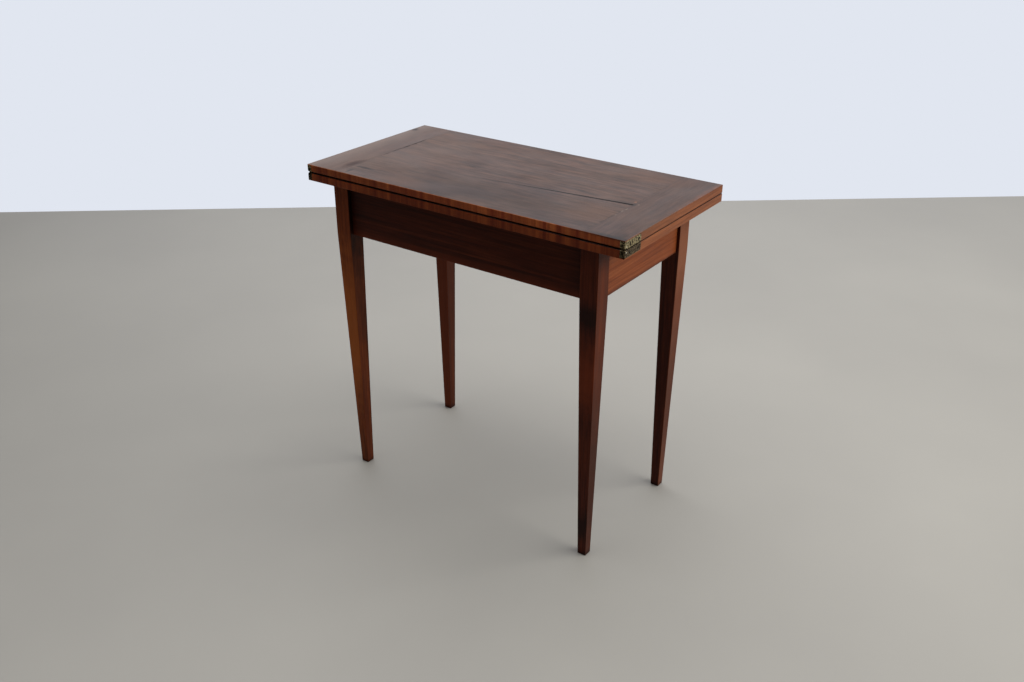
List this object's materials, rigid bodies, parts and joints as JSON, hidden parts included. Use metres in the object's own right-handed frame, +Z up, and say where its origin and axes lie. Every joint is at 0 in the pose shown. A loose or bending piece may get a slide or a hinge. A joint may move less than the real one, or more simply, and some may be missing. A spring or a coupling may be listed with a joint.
{
  "type": "folding card table",
  "caption": "Folding mahogany card table with square tapered legs, a baize-lined top that turns and unfolds, and brass end hinges.",
  "frame": {"origin": "on the floor, under the middle of the closed top", "axes": "+X along the long side of the closed top, +Y from the hinged edge to the free edge, +Z up"},
  "size_m": [0.8, 0.398, 0.75],
  "materials": {
    "mahogany_top": "worn wax polish",
    "mahogany_frame": "worn wax polish",
    "secondary_wood": "unfinished",
    "green_baize": "felted",
    "hinge_brass": "aged",
    "pivot_steel": "dull"
  },
  "bodies": {
    "frame": {"leg_front_left": "mahogany_frame", "leg_front_right": "mahogany_frame", "leg_back_left": "mahogany_frame", "leg_back_right": "mahogany_frame", "rail_front": "mahogany_frame", "rail_back": "mahogany_frame", "rail_left": "mahogany_frame", "rail_right": "mahogany_frame", "pivot_rail": "secondary_wood", "pivot_bush": "hinge_brass", "stop_peg": "secondary_wood", "well_divider": "secondary_wood", "well_ledger_front": "secondary_wood", "well_ledger_back": "secondary_wood", "well_ledger_right": "secondary_wood", "well_bottom": "secondary_wood"},
    "lower_leaf": {"lower_leaf_board_front": "mahogany_top", "lower_leaf_board_back": "mahogany_top", "lower_leaf_clamp_left": "mahogany_top", "lower_leaf_clamp_right": "mahogany_top", "baize_lower": "green_baize", "hinge_plate_lower_left": "hinge_brass", "hinge_plate_lower_right": "hinge_brass", "hinge_pins_lower": "pivot_steel", "hinge_screws_lower": "hinge_brass", "pivot_plate": "pivot_steel", "pivot_screws": "pivot_steel", "pivot_washer": "pivot_steel", "pivot_nut": "pivot_steel"},
    "hinge_links": {"hinge_link_left": "hinge_brass", "hinge_link_right": "hinge_brass"},
    "upper_leaf": {"upper_leaf_board_front": "mahogany_top", "upper_leaf_board_back": "mahogany_top", "upper_leaf_clamp_left": "mahogany_top", "upper_leaf_clamp_right": "mahogany_top", "baize_upper": "green_baize", "hinge_plate_upper_left": "hinge_brass", "hinge_plate_upper_right": "hinge_brass", "hinge_pins_upper": "pivot_steel", "hinge_screws_upper": "hinge_brass"}
  },
  "joints": [
    {"name": "top_swivel", "type": "hinge", "parent": "frame", "child": "lower_leaf", "pos_m": [-0.0995, -0.0995, 0.714], "axis": [0, 0, 1], "range_deg": [0, 90]},
    {"name": "link_turn", "type": "hinge", "parent": "lower_leaf", "child": "hinge_links", "pos_m": [0, -0.1936, 0.7264], "axis": [1, 0, 0], "range_deg": [0, 90]},
    {"name": "leaf_unfold", "type": "hinge", "parent": "hinge_links", "child": "upper_leaf", "pos_m": [0, -0.1936, 0.7376], "axis": [1, 0, 0], "range_deg": [0, 90]}
  ],
  "couplings": [
    {"joint": "link_turn", "follows": "leaf_unfold", "ratio": 1}
  ]
}
